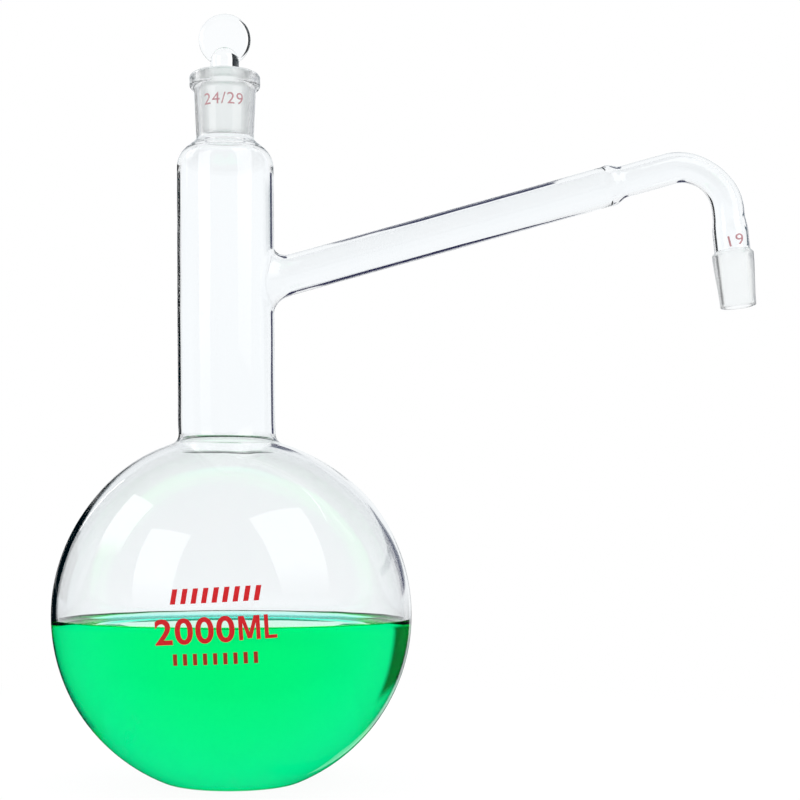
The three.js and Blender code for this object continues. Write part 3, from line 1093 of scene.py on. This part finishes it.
def soft_box(name, heading, elevation, width, height, roll, radiance, foot_level=0.25):
    """A rectangular light that faces the bulb, weaker towards its foot. Its heading is
    measured from -Y towards +X, and its size is for a place 1 m away."""
    turn, lift = math.radians(heading), math.radians(elevation)
    away = Vector(
        (math.sin(turn) * math.cos(lift), -math.cos(turn) * math.cos(lift), math.sin(lift))
    )
    mesh = bpy.data.meshes.new(name)
    corners = [(x * width / 2, y * height / 2, 0) for x, y in ((-1, -1), (1, -1), (1, 1), (-1, 1))]
    mesh.from_pydata(corners, [], [(0, 1, 2, 3)])
    lamp = bpy.data.objects.new(name, mesh)
    bpy.context.scene.collection.objects.link(lamp)
    lamp.location = Vector((0, 0, BULB_CENTRE * MM)) + away
    lamp.rotation_mode = "QUATERNION"
    spin = Quaternion((0, 0, 1), math.radians(roll))
    lamp.rotation_quaternion = away.to_track_quat("Z", "Y") @ spin
    lamp.visible_camera = False
    lamp.visible_transmission = False
    lamp.visible_shadow = False
    material = bpy.data.materials.new(name)
    nodes = Nodes(material)
    place = nodes.add("ShaderNodeTexCoord").outputs["Generated"]
    axes = nodes.add("ShaderNodeSeparateXYZ", i0=place)
    level = nodes.ramp(axes.outputs["Y"], 0.0, 0.4, foot_level, 1, True)
    for axis in ("X", "Y"):
        for start, end in ((0.0, 0.04), (1.0, 0.96)):
            edge = nodes.ramp(axes.outputs[axis], start, end, 0, 1, True)
            level = nodes.math("MULTIPLY", level, edge)
    strength = nodes.math("MULTIPLY", level, radiance)
    light = nodes.add("ShaderNodeEmission", Color=(1, 1, 1, 1), Strength=strength)
    nodes.add("ShaderNodeOutputMaterial", Surface=light.outputs[0])
    mesh.materials.append(material)


def camera():
    """A camera 0.7 m in front of the flask and a little over its liquid. The shift frames the
    side arm and the neck without tilting the neck's upright lines."""
    lens = bpy.data.cameras.new("camera")
    lens.sensor_width = 36
    lens.lens = 68.76
    lens.shift_x = 0.109
    lens.shift_y = 0.1482
    lens.clip_start, lens.clip_end = 0.05, 50
    viewer = bpy.data.objects.new("camera", lens)
    viewer.location = (0.040, -0.709, 0.1105)
    viewer.rotation_euler = (math.radians(90.9), 0, 0)
    bpy.context.scene.collection.objects.link(viewer)
    bpy.context.scene.camera = viewer


# ---- assembly -----------------------------------------------------------------------------


def carried(piece, body, slot, *nodes):
    """Puts a piece on its CAD body, in place of the CAD nodes named. The material slot it is given is
    not used.
    """
    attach(piece, body)
    if nodes:
        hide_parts(*nodes)


camera()
surroundings()
floor()
soft_box("window_right", 50, 38, 0.64, 0.98, -4, 2.6)
soft_box("window_left", -48, 28, 0.50, 0.79, 4, 2.6)
soft_box("window_far_left", -96, 38, 0.38, 0.52, 20, 2.8)
soft_box("seam_left", -141.6, 24.3, 0.014, 0.30, 10, 5.0, 1)
soft_box("seam_right", 106.2, 54.7, 0.012, 0.51, 132.6, 4.0, 1)

glass, frosted = clear_glass(), ground_glass()
flask = flask_glass([glass, frosted])
carried(
    flask, "flask", "clear_glass",
    "bulb", "neck_tube", "neck_shoulder", "neck_socket", "arm_flare", "side_arm",
    "arm_reducer", "delivery_bend", "delivery_leg", "ground_cone",
)
carried(liquid(green_liquid()), "flask", "green_liquid", "liquid")
carried(stopper([glass, frosted]), "stopper", "clear_glass", "stopper_plug", "stopper_head")

red = enamel("red_enamel", (0.52, 0.004, 0.008, 1), (0.62, 0.012, 0.018, 1))
dark_red = enamel("dark_red_enamel", (0.30, 0.015, 0.004, 1), (0.38, 0.03, 0.012, 1))
faded = enamel("faded_enamel", (0.42, 0.20, 0.22, 1), (0.52, 0.30, 0.32, 1))
prints = [
    printed(dash_mesh("print_upper_dashes", 9, 0.5, 0.3), red, 38.0, 6.2, 3, 0, on_bulb(89.0)),
    printed(print_mesh("print_capacity", "2000", 0.022, 1.1), red, 33.2, 10.9, 3.6, -8.6, on_bulb(74.8)),
    printed(unit_mesh("print_unit"), red, 15.6, 9.9, 3.6, 17.4, on_bulb(74.8)),
    printed(dash_mesh("print_lower_dashes", 9, 0.42, 0), dark_red, 35.0, 4.8, 2.2, 0, on_bulb(62.8)),
    printed(
        print_mesh("print_socket_size", "24/29", 0, 1.1), faded, 19.0, 5.2, 0, 0, on_socket(313.8)
    ),
    printed(print_mesh("print_cone_size", "19", 0, 1.1), faded, 7.2, 5.0, 8, 0, on_leg(41.5)),
]
for piece in prints:
    carried(piece, "flask", "fired_enamel")

scene = bpy.context.scene
scene.view_settings.view_transform = "Standard"
scene.cycles.max_bounces = 32
scene.cycles.transmission_bounces = 32
scene.cycles.glossy_bounces = 12
